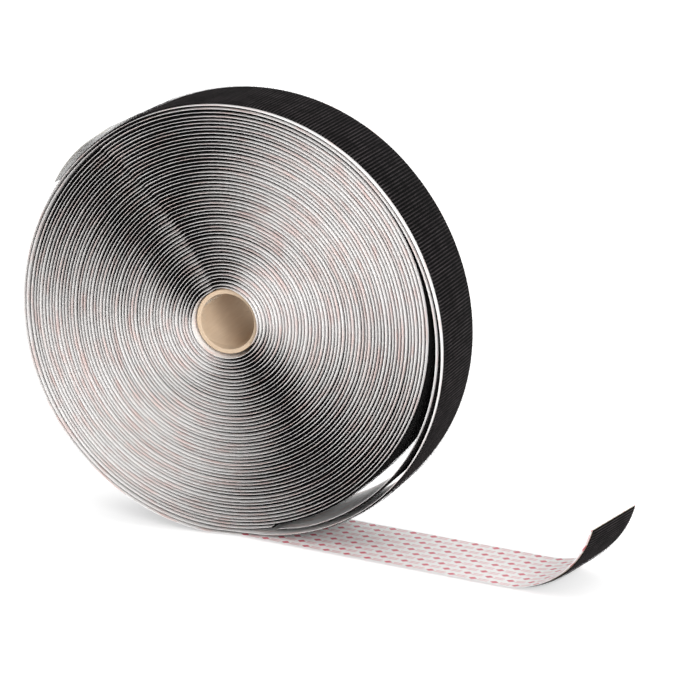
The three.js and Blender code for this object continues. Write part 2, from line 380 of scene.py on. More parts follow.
print(f"tape {2 * HALF_WIDTH:.1f} mm wide, liner {LINER_OVERHANG:.2f} mm wider on each side")

# %% [markdown]
# ## Black woven tape
#
# The tape is woven nylon, almost black. Its weave is far finer than the picture shows, but it decides how
# millimetres. The yarns could be modelled, but a bump is enough for what is seen: two sine waves along and
# across the tape, which the mesh carries as its UV map in millimetres. A third wave paints a faint pale
# line on the crest of every row of hooks, a painted sheen that leaves the valleys between the rows darker,
# and soft blotches keep the lines from being even. The pack shows only the tape's edge, and there the
# painted lines are weaker, so its rows are darker.

# %% Material of the woven tape
YARN_PITCH = 0.6
HOOK_ROW = 2.0
DEEP_BLACK = (0.002, 0.002, 0.002, 1.0)
# The row colours are a painted sheen on the crest of every row of hooks: full on the woven tape, weak on
# the pack's edge.
ROW_CREST_SHEEN = (0.058, 0.050, 0.052, 1.0)
EDGE_CREST_SHEEN = (0.012, 0.011, 0.011, 1.0)
BLOTCH_RANGE = (0.36, 0.62)
SHEEN_PATCH_RANGE = (0.4, 1.0)


def tape_place(material):
    """The place on the tape in millimetres, along and across it, from the UV map."""
    return add_node(material, "UVMap", {}, uv_map="tape").outputs[0]


def sine_wave(material, value, pitch):
    """A sine wave of a given length, in the unit of the value."""
    return calc(material, "SINE", calc(material, "MULTIPLY", value, 2 * np.pi / pitch))


def woven_black(name, crest_sheen):
    """Almost black cloth with a plain weave, and a painted sheen on the crest of every row that comes and
    goes.
    """
    material, shader = start_material(name, roughness=0.85, specular=0.02)
    shader.inputs["Sheen Weight"].default_value = 0.01
    shader.inputs["Sheen Roughness"].default_value = 0.5
    place = add_node(material, "SeparateXYZ", {0: tape_place(material)})
    along, across = place.outputs[0], place.outputs[1]
    lengthwise = sine_wave(material, along, YARN_PITCH)
    weave = calc(material, "MULTIPLY", lengthwise, sine_wave(material, across, YARN_PITCH))
    roughen(material, shader, weave, strength=0.5, depth=0.0001)
    blotch = noise(material, object_place(material), scale=110.0, detail=4.0)
    sheen_patches = ranged(material, blotch, BLOTCH_RANGE, SHEEN_PATCH_RANGE)
    # Painted sheen: paler on the crest of every rib, in uneven patches, which leaves the valleys between
    # them darker.
    row = sine_wave(material, calc(material, "ADD", along, HOOK_ROW / 4), HOOK_ROW)
    painted_sheen = calc(material, "MULTIPLY", calc(material, "MAXIMUM", row, 0.0), sheen_patches)
    link(material, mix_colours(material, painted_sheen, DEEP_BLACK, crest_sheen), shader, "Base Color")
    return material


WOVEN_BLACK = woven_black("woven_black_tape", ROW_CREST_SHEEN)
EDGE_BLACK = woven_black("black_tape_edge", EDGE_CREST_SHEEN)
print("materials:", WOVEN_BLACK.name, EDGE_BLACK.name)

# %% [markdown]
# ## Printed release liner
#
# The liner is thin white paper with a smooth coat, and a small red print. A picture could carry the print,
# but a formula stays sharp at any distance. The print is plain: rows of diamonds and bars, set like
# bricks. A cell of the pattern is the fraction of the place on the tape over the pitch, and a diamond is
# where the sum of two distances stays under one. In the winding only the liner's back and edges show, and
# the print comes through as soft pink smudges. On the laid tail the place comes from Object coordinates
# instead of the UV map, so that the print keeps its size when more tape is drawn out.

# %% Material of the liner
PRINT_PITCH = 13.4
PRINT_ROW = 6.4
DIAMOND_HALF_LENGTH = 2.7
DIAMOND_HALF_WIDTH = 2.1
DIAMOND_AT = -3.4
BAR_HALF_LENGTH = 3.1
BAR_HALF_WIDTH = 0.44
BAR_AT = 2.9
BAR_APART = 0.95
PRINT_RED = (0.64, 0.14, 0.18, 1.0)
PRINT_PINK = (0.76, 0.40, 0.42, 1.0)
FAINT_PINK = (0.86, 0.66, 0.62, 1.0)
SMUDGE_LENGTH = 14.0
SMUDGE_WIDTH = 5.0
SMUDGE_RANGE = (0.50, 0.72)
SMUDGE_STRENGTH = (0.0, 0.7)
PAPER_WHITE = (0.91, 0.895, 0.885, 1.0)
PAPER_SHADE = (0.86, 0.84, 0.83, 1.0)
COATED_PAPER = {"roughness": 0.42, "specular": 0.4}


def print_cell(material, place):
    """Place inside one cell of the print, with every other row moved on by half a cell."""
    along, across = (place.outputs[k] for k in range(2))
    row = calc(material, "ROUND", calc(material, "DIVIDE", across, PRINT_ROW))
    across = calc(material, "SUBTRACT", across, calc(material, "MULTIPLY", row, PRINT_ROW))
    brick = calc(material, "MULTIPLY", row, 0.5)
    cells = calc(material, "ADD", calc(material, "DIVIDE", along, PRINT_PITCH), brick)
    centred = calc(material, "SUBTRACT", calc(material, "FRACT", cells), 0.5)
    return calc(material, "MULTIPLY", centred, PRINT_PITCH), calc(material, "ABSOLUTE", across)


def distance_from(material, value, place):
    """Distance of a value from a place."""
    return calc(material, "ABSOLUTE", calc(material, "SUBTRACT", value, place))


def printed_liner(name, place_socket):
    """White coated paper with a print in two inks, on a place that is given in millimetres."""
    material, shader = start_material(name, **COATED_PAPER)
    place = add_node(material, "SeparateXYZ", {0: place_socket(material)})
    along, across = print_cell(material, place)
    long_share = calc(material, "DIVIDE", distance_from(material, along, DIAMOND_AT), DIAMOND_HALF_LENGTH)
    wide_share = calc(material, "DIVIDE", across, DIAMOND_HALF_WIDTH)
    diamond = calc(material, "LESS_THAN", calc(material, "ADD", long_share, wide_share), 1.0)
    in_length = calc(material, "LESS_THAN", distance_from(material, along, BAR_AT), BAR_HALF_LENGTH)
    in_width = calc(material, "LESS_THAN", distance_from(material, across, BAR_APART), BAR_HALF_WIDTH)
    bar = calc(material, "MULTIPLY", in_length, in_width)
    fibre = noise(material, object_place(material), scale=90.0, detail=5.0)
    paper = mix_colours(material, fibre, PAPER_SHADE, PAPER_WHITE)
    inked = mix_colours(material, bar, mix_colours(material, diamond, paper, PRINT_RED), PRINT_PINK)
    link(material, inked, shader, "Base Color")
    roughen(material, shader, fibre, strength=0.15, depth=0.0002)
    return material


def smudged_liner():
    """White coated paper with soft pink smudges, where the print on its other side comes through."""
    material, shader = start_material("wound_liner_paper", **COATED_PAPER)
    stretch = {"Vector": tape_place(material), "Scale": (1 / SMUDGE_LENGTH, 1 / SMUDGE_WIDTH, 1.0)}
    spread = add_node(material, "Mapping", stretch).outputs[0]
    smudge = noise(material, spread, scale=1.0, detail=1.0)
    strength = ranged(material, smudge, SMUDGE_RANGE, SMUDGE_STRENGTH)
    link(material, mix_colours(material, strength, PAPER_WHITE, FAINT_PINK), shader, "Base Color")
    return material


WOUND_PAPER = smudged_liner()
LINER_PAPER = printed_liner("printed_liner", tape_place)
print("materials:", WOUND_PAPER.name, LINER_PAPER.name)

# %% [markdown]
# ## The tight pack
#
# The pack is 52 turns of tape and liner. Two things make its side look as it does. The liner is wider than
# the tape, so a narrow flap of white paper stands out past every black edge. And no turn lies quite flush:
# the tape wanders sideways, and the flaps vary in width and lean a little. Seen from the right and above,
# the flaps hide the black where they face that way, and show only their thin edge at right angles to it.
# That gives the bright and dark fans. They could be painted on a flat disc, but then they would stay put
# when the view changes. The flaps lean a little towards the axis, which makes both bright fans alike. The
# wander is a few sine waves in the number of turns, with nearly whole numbers of waves a turn, so that it
# drifts slowly from turn to turn. The clear strap pulls the flaps out before its edge and presses them in
# past it, so the white lines jog there. The pack's outer end runs on a little under the slack turns.

# %% The pack's stations
PACK_OUTER_TURN = SLACK_TURNS - 13.0 / 360.0
PACK_INNER_TURN = 53.85
STEPS_PER_TURN = 120
PACK_WANDER_OUT = [(0.05, 1.31, 0.10), (0.04, 3.17, 0.55)]
PRESS_EDGE_ANGLE = 118.0
PRESS_EDGE_RADIUS = 60.0
PRESS_EDGE_SLOPE = 10.0 / 60.0
PRESS_SPAN_DEG = 78.0
PRESS_LEAN = 0.62
PRESS_RAMP = 1.2
PULL_LEAN = 0.44
PULL_AT_DEG = 22.0
PULL_SPAN_DEG = 32.0
FINE_PAST_EDGE_DEG = 2.0
FINE_DEG = 12.0
FINE_STEPS = 45


def waves(turns, terms):
    """A sum of sine waves: each term is a height, a number of waves a turn and a phase."""
    return sum(height * np.sin(2 * np.pi * (rate * turns + phase)) for height, rate, phase in terms)


def strap_press(turns, radius):
    """Inward lean of the flaps by the strap: pulled out before its right edge, and pressed in past it.

    Past the edge the lean rises steeply and falls evenly, and before it the pull is a bell curve.
    """
    edge = PRESS_EDGE_ANGLE + PRESS_EDGE_SLOPE * (radius - PRESS_EDGE_RADIUS)
    past = np.mod(TAIL_ANGLE - 360.0 * turns - edge + 180.0, 360.0) - 180.0
    rise = 0.5 + 0.5 * np.tanh(radius * np.radians(past) / PRESS_RAMP)
    pressed = PRESS_LEAN * rise * np.clip(1.0 - past / PRESS_SPAN_DEG, 0.0, 1.0)
    pulled = PULL_LEAN * (1 - rise) * np.exp(-(((past + PULL_AT_DEG) / PULL_SPAN_DEG) ** 2))
    return pressed - pulled


def pack_turns():
    """Numbers of turns along the pack, in even steps and in fine ones at the strap's edge."""
    even = np.arange(STEPS_PER_TURN) / STEPS_PER_TURN
    fine_middle = TAIL_ANGLE - PRESS_EDGE_ANGLE - FINE_PAST_EDGE_DEG
    fine = (fine_middle + np.linspace(-FINE_DEG, FINE_DEG, FINE_STEPS)) / 360.0
    parts = np.unique(np.concatenate([even, np.mod(fine, 1.0)]))
    whole = np.arange(int(PACK_OUTER_TURN), int(PACK_INNER_TURN) + 2)
    turns = (whole[:, None] + parts[None, :]).ravel()
    inside = turns[(turns > PACK_OUTER_TURN) & (turns < PACK_INNER_TURN)]
    return np.concatenate([[PACK_OUTER_TURN], inside, [PACK_INNER_TURN]])


pack_at = pack_turns()
pack_round = ROLL_RADIUS - FLOOR_FLAT_DEPTH - TURN_PITCH * np.maximum(pack_at, SLACK_TURNS)
pack_stations = round_stations(pack_at, pack_round + waves(pack_at, PACK_WANDER_OUT))
print(f"pack: {len(pack_at)} stations, {pack_stations[3][-1] / 1000:.1f} m of tape")

# %% The pack's tape and liner
HOOK_THICKNESS = 1.0
TAPE_CORNER = 0.28
LINER_OUTER_DEPTH = 1.40
LINER_INNER_DEPTH = 1.55
FLAP_LEAN = 0.14
FLAP_EXTRA = 0.1
FLAP_WIDTH = LINER_OVERHANG + FLAP_EXTRA
PACK_SHIFT_WAVES = [(0.10, 0.083, 0.2), (0.10, 2.04, 0.6), (0.06, 5.07, 0.1)]
PACK_FLAP_WAVES = [(0.09, 0.21, 0.1), (0.07, 2.03, 0.35)]
PACK_LEAN_WAVES = [(0.12, 0.37, 0.4), (0.09, 3.02, 0.7), (0.06, 7.05, 0.2)]


def tape_profile(half_width, top, bottom, corner):
    """A flat ring with broken corners: across and out, for eight points round the tape."""
    edge, cut = half_width, corner
    points = [
        (-edge, bottom + cut), (-edge, top - cut), (-edge + cut, top), (edge - cut, top),
        (edge, top - cut), (edge, bottom + cut), (edge - cut, bottom), (-edge + cut, bottom),
    ]
    return np.array(points)[None]


def moved_across(profile, shift):
    """A profile for every station, moved sideways by the station's shift."""
    moved = np.repeat(profile, len(shift), axis=0)
    moved[:, :, 0] += shift[:, None]
    return moved


def liner_profile(overhang, lean, shift):
    """The liner's ring at every station: flat behind the tape, with a flap of its own width and lean."""
    flap = HALF_WIDTH + overhang
    flat = np.full_like(overhang, HALF_WIDTH)
    across = np.stack([-flap, -flap, -flat, flat, flap, flap, flat, -flat], axis=1) + shift[:, None]
    upper = np.full_like(overhang, -LINER_OUTER_DEPTH)
    lower = np.full_like(overhang, -LINER_INNER_DEPTH)
    upper_tip, lower_tip = upper + lean, lower + lean
    out = np.stack([lower_tip, upper_tip, upper, upper, upper_tip, lower_tip, lower, lower], axis=1)
    return np.stack([across, out], axis=2)


pack_shift = waves(pack_at, PACK_SHIFT_WAVES)
pack_overhang = FLAP_WIDTH * (1 + waves(pack_at, PACK_FLAP_WAVES))
pack_lean = waves(pack_at, PACK_LEAN_WAVES) - FLAP_LEAN - strap_press(pack_at, pack_round)
pack_ring = moved_across(tape_profile(HALF_WIDTH, 0.0, -HOOK_THICKNESS, TAPE_CORNER), pack_shift)
pack_flaps = liner_profile(pack_overhang, pack_lean, pack_shift)
pack_tape = carry("pack_hook_tape", pack_stations, pack_ring, EDGE_BLACK)
pack_liner = carry("pack_release_liner", pack_stations, pack_flaps, WOUND_PAPER)
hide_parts("inner_turns", "wound_hook_strip")
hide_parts("wound_liner")
for piece in (pack_tape, pack_liner):
    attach(piece, "wound_roll")

# %% [markdown]
# ## The slack turns
#
# The two outer turns show their face as well as their edge. A plain strip with a bump would look flat at
# the rim's outline, so their tape is built finer. The cloth is only half of the tape's thickness, because
# the hooks stand on the other half. Between two plain selvedges it has low ribs across, one for every row
# of hooks. At the bottom it lies flat on the floor, and there the strip turns to the side by the tail's
# swing. At its inner end it grows out of the pack from almost nothing.

# %% The slack turns' stations
SLACK_INNER_TURN = SLACK_TURNS - 14.0 / 360.0
SLACK_OUTER_TURN = 5.0 / 360.0
SLACK_SAMPLES = 4000
FOOT_SAMPLES = 40
TAIL_CUT = 12.0
RIB_STEP = 0.5
SLACK_LINER_STEP = 2.0

UP = np.array([0.0, 0.0, 1.0])
tail_foot = np.array([TAIL_CUT, 0.0, 0.0])
tail_way = np.array(joints["tail_payout"]["axis"])
tail_side = np.array([-tail_way[1], tail_way[0], 0.0])


def spaced(stations, step):
    """The same stations at even steps along the path."""
    length = stations[3][-1]
    even = np.linspace(0.0, length, int(round(length / step)) + 1)
    return (*stations_at(stations, even), even)


def slack_stations(step):
    """The slack turns from the pack's end to the floor, then flat and turning to the tail's side."""
    turns = np.linspace(SLACK_INNER_TURN, SLACK_OUTER_TURN, SLACK_SAMPLES)
    path, outward, sideways = round_stations(turns, slack_radius(turns))[:3]
    share = np.linspace(0.0, 1.0, FOOT_SAMPLES)[1:, None]
    flat_path = path[-1] + (tail_foot - path[-1]) * share
    flat_out = outward[-1] + (-UP - outward[-1]) * share
    flat_side = sideways[-1] + (tail_side - sideways[-1]) * share
    path = np.concatenate([path, flat_path])
    joined = path, np.concatenate([outward, flat_out]), np.concatenate([sideways, flat_side])
    return spaced((*joined, lengths_along(path)), step)


slack_fine = slack_stations(RIB_STEP)
slack_coarse = slack_stations(SLACK_LINER_STEP)
print(f"slack turns: {len(slack_fine[0])} stations, {slack_fine[3][-1] / 1000:.2f} m of tape")

# %% The slack turns' tape and liner
CLOTH_TOP = -0.45
RIB_HEIGHT = 0.32
RIB_POINTS = slice(4, 6)
SELVEDGE = 2.4
TAPER_LENGTH = 24.0
TAPER_LEAST = 0.1
LINER_WAVE_LENGTH = 400.0
SLACK_SHIFT_WAVES = [(0.15, 0.6, 0.3), (0.1, 2.3, 0.0)]


def ribbed_profile(along):
    """The cloth's ring at every station: plain selvedges, and between them ribs of (1 + cos) / 2 a row."""
    edge, cut, inner = HALF_WIDTH, TAPE_CORNER, HALF_WIDTH - SELVEDGE
    top, bottom = CLOTH_TOP, -HOOK_THICKNESS
    rib = RIB_HEIGHT * (0.5 + 0.5 * np.cos(2 * np.pi * along / HOOK_ROW))
    ring = [
        (-edge, top - 2 * cut), (-edge, top - cut), (-edge + cut, top), (-inner - cut, top),
        (-inner, top), (inner, top),
        (inner + cut, top), (edge - cut, top), (edge, top - cut), (edge, top - 2 * cut),
        (edge - cut, bottom), (-edge + cut, bottom),
    ]
    profile = np.repeat(np.array(ring)[None], len(along), axis=0)
    profile[:, RIB_POINTS, 1] += rib[:, None]
    return profile


def even_liner(stations, shift_terms, share=1.0):
    """The liner's ring along stations, with a little sideways wander and a share of the full flap."""
    along = stations[3]
    shift = waves(along / LINER_WAVE_LENGTH, shift_terms)
    overhang = np.full_like(along, FLAP_WIDTH) * share
    return liner_profile(overhang, np.full_like(along, -FLAP_LEAN / 2), shift)


def start_share(along):
    """From almost nothing at the strip's start to one at the taper's end: t^2 (3 - 2t)."""
    t = np.clip(along / TAPER_LENGTH, TAPER_LEAST, 1.0)
    return t * t * (3 - 2 * t)


def tapered(profile, along):
    """A profile whose thickness grows from the strip's start."""
    thin = profile.copy()
    thin[:, :, 1] = -HOOK_THICKNESS + (profile[:, :, 1] + HOOK_THICKNESS) * start_share(along)[:, None]
    return thin


slack_ring = tapered(ribbed_profile(slack_fine[3]), slack_fine[3])
slack_paper = even_liner(slack_coarse, SLACK_SHIFT_WAVES, start_share(slack_coarse[3]))
slack_tape = carry("slack_hook_tape", slack_fine, slack_ring, WOVEN_BLACK)
slack_liner = carry("slack_release_liner", slack_coarse, slack_paper, WOUND_PAPER)
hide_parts("slack_hook_strip")
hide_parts("slack_liner")
for piece in (slack_tape, slack_liner):
    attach(piece, "slack_turns")

# %% [markdown]
# ## The hooks
#
# A hook is a stiff nylon thread that stands up from the cloth and bends over at the top. A hair system
# could grow them, but hair leaves no mesh behind. There are about nine thousand on the outer turn alone, so
# each has only 26 triangles: a three-sided thread through five places along a bent line. All of them are
# made in one array: one hook's points, scaled, turned and placed for every row and column. A row is a
# little uneven, and hooks lean one way in one row and the other way in the next. Where the tape touches the
# floor, hooks are pressed as low as the floor leaves them. The pack's own outer turn shows hooks only where
# the slack turns stand off it, so only that arc has them.

# %% Material and shape of the hooks
HOOK_LINE = np.array([(0.0, 0.0), (0.02, 0.50), (0.10, 0.86), (0.26, 1.0), (0.40, 0.80)])
HOOK_RADIUS = np.array([0.12, 0.11, 0.10, 0.09, 0.06])
HOOK_SIDES = 3
HOOK_DARK = (0.006, 0.005, 0.005, 1.0)
HOOK_PALE = (0.034, 0.030, 0.031, 1.0)


def hook_nylon():
    """Black nylon thread, glossier than the cloth, with a slight change from hook to hook."""
    material, shader = start_material("hook_nylon", roughness=0.5, specular=0.06)
    change = noise(material, object_place(material), scale=300.0, detail=2.0)
    link(material, mix_colours(material, change, HOOK_DARK, HOOK_PALE), shader, "Base Color")
    return material


def hook_shape():
    """One hook's points, its line plus r cos c along the normal and r sin c sideways, and its quads."""
    slope = np.gradient(HOOK_LINE, axis=0)
    slope /= np.linalg.norm(slope, axis=1, keepdims=True)
    corner = np.radians(90.0 + np.arange(HOOK_SIDES) * 360.0 / HOOK_SIDES)
    bulge = HOOK_RADIUS[:, None] * np.cos(corner)
    lengthwise = HOOK_LINE[:, :1] - slope[:, 1:] * bulge
    outward = HOOK_LINE[:, 1:] + slope[:, :1] * bulge
    sideways = HOOK_RADIUS[:, None] * np.sin(corner)
    shape = np.stack([lengthwise, outward, sideways], axis=2).reshape(-1, 3)
    return shape, ring_faces(len(HOOK_LINE), HOOK_SIDES)


HOOK_NYLON = hook_nylon()
one_hook, one_hook_faces = hook_shape()
print("one hook:", len(one_hook), "points")

# %% Plant hooks on a strip
HOOK_HEIGHT = 1.2
HOOK_REACH = 1.12
ROOT_DEPTH = 0.05
FLOOR_CLEARANCE = 0.03
ROW_SLIP = 0.16
ROW_HEIGHT_CHANGE = 0.10
HOOK_SLIP_ALONG = 0.05
HOOK_SLIP_ACROSS = 0.10
HOOK_HEIGHT_CHANGE = 0.08


def plant_hooks(name, stations, columns, first, last, tallness, seed, foot=CLOTH_TOP):
    """Hooks in rows from one length to another: point = root + way * along + out * up + side * across."""
    chance = np.random.default_rng(seed)
    rows = np.arange(np.ceil(first / HOOK_ROW), np.floor(last / HOOK_ROW) + 1) * HOOK_ROW
    count = len(rows) * len(columns)
    row_slip = chance.normal(0.0, ROW_SLIP, len(rows))
    row_height = 1.0 + chance.normal(0.0, ROW_HEIGHT_CHANGE, len(rows))
    row_lean = np.where(np.arange(len(rows)) % 2 == 0, 1.0, -1.0)
    along = np.repeat(rows + row_slip, len(columns)) + chance.normal(0.0, HOOK_SLIP_ALONG, count)
    across = np.tile(columns, len(rows)) + chance.normal(0.0, HOOK_SLIP_ACROSS, count)
    lean = np.repeat(row_lean, len(columns))[:, None, None]
    path, out, side = stations_at(stations, np.clip(along, 0.0, stations[3][-1]))
    way = np.cross(side, out)
    root = path + out * (foot - ROOT_DEPTH) + side * across[:, None]
    change = 1.0 + chance.normal(0.0, HOOK_HEIGHT_CHANGE, count)
    height = tallness * np.repeat(row_height, len(columns)) * change
    room = (root[:, 2] - FLOOR_CLEARANCE) / np.maximum(-out[:, 2], LEAST_SLOPE)
    height = np.where(out[:, 2] < 0, np.minimum(height, room / HOOK_REACH), height)
    points = (
        root[:, None]
        + way[:, None] * (one_hook[None, :, :1] * lean)
        + out[:, None] * (one_hook[None, :, 1:2] * height[:, None, None])
        + side[:, None] * (one_hook[None, :, 2:] * lean)
    )
    start = np.arange(count) * len(one_hook)
    faces = (start[:, None, None] + one_hook_faces[None]).reshape(-1, 4)
    first_ring = np.arange(HOOK_SIDES)
    ends = [first_ring[::-1], first_ring + len(one_hook) - HOOK_SIDES]
    caps = [cap for end in ends for cap in start[:, None] + end[None]]
    piece = make_piece(name, points.reshape(-1, 3), faces, caps, HOOK_NYLON)
    return piece


print("hooks up to", HOOK_HEIGHT, "mm tall, a row every", HOOK_ROW, "mm")

# %% Hooks on the roll
HOOK_COLUMN = 1.95
SIDE_COLUMNS = 11
EDGE_COLUMNS = 3
OUTER_RUN_ON = 10.0
GAP_SHARE = 0.42
GAP_HOOK_HEIGHT = 0.75
PACK_HOOK_SHARES = (0.70, 0.955)
PACK_HOOK_HEIGHT = 0.95
PACK_TOP = 0.0

hook_columns = np.arange(-SIDE_COLUMNS, SIDE_COLUMNS + 1) * HOOK_COLUMN
edge_columns = np.concatenate([hook_columns[:EDGE_COLUMNS], hook_columns[-EDGE_COLUMNS:]])
slack_length = slack_fine[3][-1]
rim_from = slack_length - 2 * np.pi * ROLL_RADIUS - OUTER_RUN_ON
rim_half = (rim_from + slack_length) / 2
gap_to = GAP_SHARE * slack_length
rim_pieces = [
    plant_hooks("rim_hooks_right", slack_fine, hook_columns, rim_from, rim_half, HOOK_HEIGHT, seed=11),
    plant_hooks("rim_hooks_left", slack_fine, hook_columns, rim_half, slack_length, HOOK_HEIGHT, seed=12),
    plant_hooks("gap_hooks", slack_fine, edge_columns, TAPER_LENGTH, gap_to, GAP_HOOK_HEIGHT, seed=13),
]
for piece in rim_pieces:
    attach(piece, "slack_turns")
arc_ends = [np.interp(SLACK_TURNS + share, pack_at, pack_stations[3]) for share in PACK_HOOK_SHARES]
pack_hooks = plant_hooks(
    "pack_hooks", pack_stations, hook_columns, *arc_ends, PACK_HOOK_HEIGHT, seed=14, foot=PACK_TOP
)
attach(pack_hooks, "wound_roll")

# %% [markdown]
# ## The laid tail and its curled end
#
# The tail lies on the floor with the hooks down and the liner up, and its end curls upwards. It could be
# one strip, but parts of it move on their own. It is the same profile as before, on a path that is straight
# and then an arc, in two lengths: a flat one from the slack turns, and a curled one where the end lifts off
# the floor. The last piece of liner peels off, so it is a piece of its own, from the edge where the peel
# starts to the end.

# %% The tail's stations
TAIL_LENGTH = 171.0
CURL_RADIUS = 55.0
CURL_SWEEP = np.radians(75.0)
PEEL_SWEEP = np.radians(45.0)
FLAT_LENGTH = 150.0

peel_from = TAIL_LENGTH + CURL_RADIUS * PEEL_SWEEP
tail_end = TAIL_LENGTH + CURL_RADIUS * CURL_SWEEP


def tail_stations(first, last, step):
    """Stations between two lengths of the tail: straight, then an arc, R sin s on and R (1 - cos s) up."""
    along = np.linspace(first, last, int(round((last - first) / step)) + 1)
    sweep = np.maximum(along - TAIL_LENGTH, 0.0) / CURL_RADIUS
    level = np.minimum(along, TAIL_LENGTH) + CURL_RADIUS * np.sin(sweep)
    path = tail_foot + level[:, None] * tail_way
    path[:, 2] = CURL_RADIUS * (1.0 - np.cos(sweep))
    outward = np.sin(sweep)[:, None] * tail_way - np.cos(sweep)[:, None] * UP
    sideways = np.tile(tail_side, (len(along), 1))
    return path, outward, sideways, along


print(f"tail: {tail_end:.0f} mm long, curled from {TAIL_LENGTH:.0f} mm on")

# %% The laid tail's print and the adhesive
COAT_DARK = (0.42, 0.37, 0.26, 1.0)
COAT_PALE = (0.60, 0.54, 0.40, 1.0)


def laid_place(material):
    """The place on the laid tail in millimetres, from Object coordinates turned along its swing."""
    swing = np.arctan2(tail_way[1], tail_way[0])
    turned = {
        "Vector": object_place(material),
        "Scale": (1 / MM,) * 3,
        "Rotation": (0.0, 0.0, -swing),
        "Location": (-TAIL_CUT * np.cos(-swing), -TAIL_CUT * np.sin(-swing), 0.0),
    }
    return add_node(material, "Mapping", turned).outputs[0]


def tacky_coat():
    """A clear, slightly yellow adhesive coat with a fine uneven gloss."""
    material, shader = start_material("tacky_coat", roughness=0.22, specular=0.5)
    drag = noise(material, object_place(material), scale=220.0, detail=3.0)
    link(material, mix_colours(material, drag, COAT_DARK, COAT_PALE), shader, "Base Color")
    roughen(material, shader, drag, strength=0.35, depth=0.0002)
    return material


LAID_PAPER = printed_liner("laid_printed_liner", laid_place)
TACKY_COAT = tacky_coat()
print("materials:", LAID_PAPER.name, TACKY_COAT.name)

# %% The tail's strips
COAT_TOP = -1.02
COAT_BOTTOM = -1.25
COAT_CORNER = 0.06
COAT_INSET = 0.2
TAIL_LINER_STEP = 1.5
TAIL_SHIFT_WAVES = [(0.1, 1.1, 0.2)]
CURL_HOOK_MARGIN = 1.0


def tail_strips(prefix, first, last, liner_last, paper, nodes):
    """Tape, adhesive and liner over one length of the tail, as three pieces."""
    fine = tail_stations(first, last, RIB_STEP)
    coarse = tail_stations(first, last, TAIL_LINER_STEP)
    liner_line = tail_stations(first, liner_last, TAIL_LINER_STEP)
    coat_ring = tape_profile(HALF_WIDTH - COAT_INSET, COAT_TOP, COAT_BOTTOM, COAT_CORNER)
    strips = [
        carry(prefix + "_hook_tape", fine, ribbed_profile(fine[3]), WOVEN_BLACK),
        carry(prefix + "_adhesive_coat", coarse, coat_ring, TACKY_COAT),
        carry(prefix + "_release_liner", liner_line, even_liner(liner_line, TAIL_SHIFT_WAVES), paper),
    ]
    for piece, slot, node in zip(strips, ("hook_tape", "adhesive", "release_liner"), nodes):
        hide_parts(node)
    return strips


flat_nodes = ("tail_hook_strip", "tail_adhesive", "tail_liner")
curl_nodes = ("end_hook_strip", "end_adhesive", "end_liner")
flat_pieces = tail_strips("tail", 0.0, FLAT_LENGTH, FLAT_LENGTH, LAID_PAPER, flat_nodes)
curl_pieces = tail_strips("curl", FLAT_LENGTH, tail_end, peel_from, LINER_PAPER, curl_nodes)
whole_tail = tail_stations(0.0, tail_end, RIB_STEP)
flat_pieces.append(
    plant_hooks("tail_edge_hooks", whole_tail, edge_columns, 0.0, FLAT_LENGTH, HOOK_HEIGHT, seed=14)
)
curl_ends = FLAT_LENGTH + CURL_HOOK_MARGIN, tail_end - CURL_HOOK_MARGIN
curl_pieces.append(
    plant_hooks("curl_hooks", whole_tail, hook_columns, *curl_ends, HOOK_HEIGHT, seed=15)
)
for piece in flat_pieces:
    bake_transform(piece)
for piece in curl_pieces:
    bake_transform(piece)

# %% The liner's peeling end
PEEL_STEP = 1.0

peel_line = tail_stations(peel_from, tail_end, PEEL_STEP)
peel_tab = carry("peel_liner_tab", peel_line, even_liner(peel_line, TAIL_SHIFT_WAVES), LINER_PAPER)
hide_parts("liner_tab")
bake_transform(peel_tab)

# %% [markdown]
# ## The cardboard core
#
# The core is a tube of kraft board, wound in a spiral from strips, which leaves a fine seam round the bore.
# In front it is flush with the tape, and at the back it reaches past it, so that no light shows through it
# from the camera. A cylinder with a bevel would have no seam, so it is one surface of revolution: a ring of
# radius and width with rounded ends, and enough rows in the bore to press the seam into it. The seam is a
# shallow groove along a helix, and the board's plies show as thin rings on its ends.

# %% Material of the core
BOARD_DARK = (0.50, 0.37, 0.25, 1.0)
BOARD_PALE = (0.68, 0.545, 0.41, 1.0)
BOARD_PLY = (0.46, 0.33, 0.21, 1.0)
FIBRE_SPREAD = (900.0, 60.0, 900.0)
FIBRE_SHARE = 0.6
BLOTCH_SHARE = 0.4
PLY_PITCH = 0.62
PLY_EDGE = 0.75
PLY_STRENGTH = 0.22


def kraft_board():
    """Brown board: fibres along the tube, blotches, and plies as rings about the axis."""
    material, shader = start_material("kraft_board", roughness=0.82, specular=0.22)
    coordinates = object_place(material)
    to_axis = {"Vector": coordinates, "Location": (0.0, 0.0, -AXIS_HEIGHT * MM)}
    centred = add_node(material, "Mapping", to_axis).outputs[0]
    place = add_node(material, "SeparateXYZ", {0: centred})
    x, z = place.outputs[0], place.outputs[2]
    squares = calc(material, "ADD", calc(material, "MULTIPLY", x, x), calc(material, "MULTIPLY", z, z))
    plies = sine_wave(material, calc(material, "SQRT", squares), PLY_PITCH * MM)
    stretched = add_node(material, "Mapping", {"Vector": centred, "Scale": FIBRE_SPREAD}).outputs[0]
    fibres = noise(material, stretched, scale=1.0, detail=6.0)
    blotches = noise(material, coordinates, scale=70.0, detail=3.0)
    fibre_tone = calc(material, "MULTIPLY", fibres, FIBRE_SHARE)
    tone = calc(material, "ADD", fibre_tone, calc(material, "MULTIPLY", blotches, BLOTCH_SHARE))
    board = mix_colours(material, tone, BOARD_DARK, BOARD_PALE)
    ringed = calc(material, "MULTIPLY", calc(material, "GREATER_THAN", plies, PLY_EDGE), PLY_STRENGTH)
    link(material, mix_colours(material, ringed, board, BOARD_PLY), shader, "Base Color")
    roughen(material, shader, fibres, strength=0.3, depth=0.0002)
    return material


KRAFT_BOARD = kraft_board()
print("material:", KRAFT_BOARD.name)

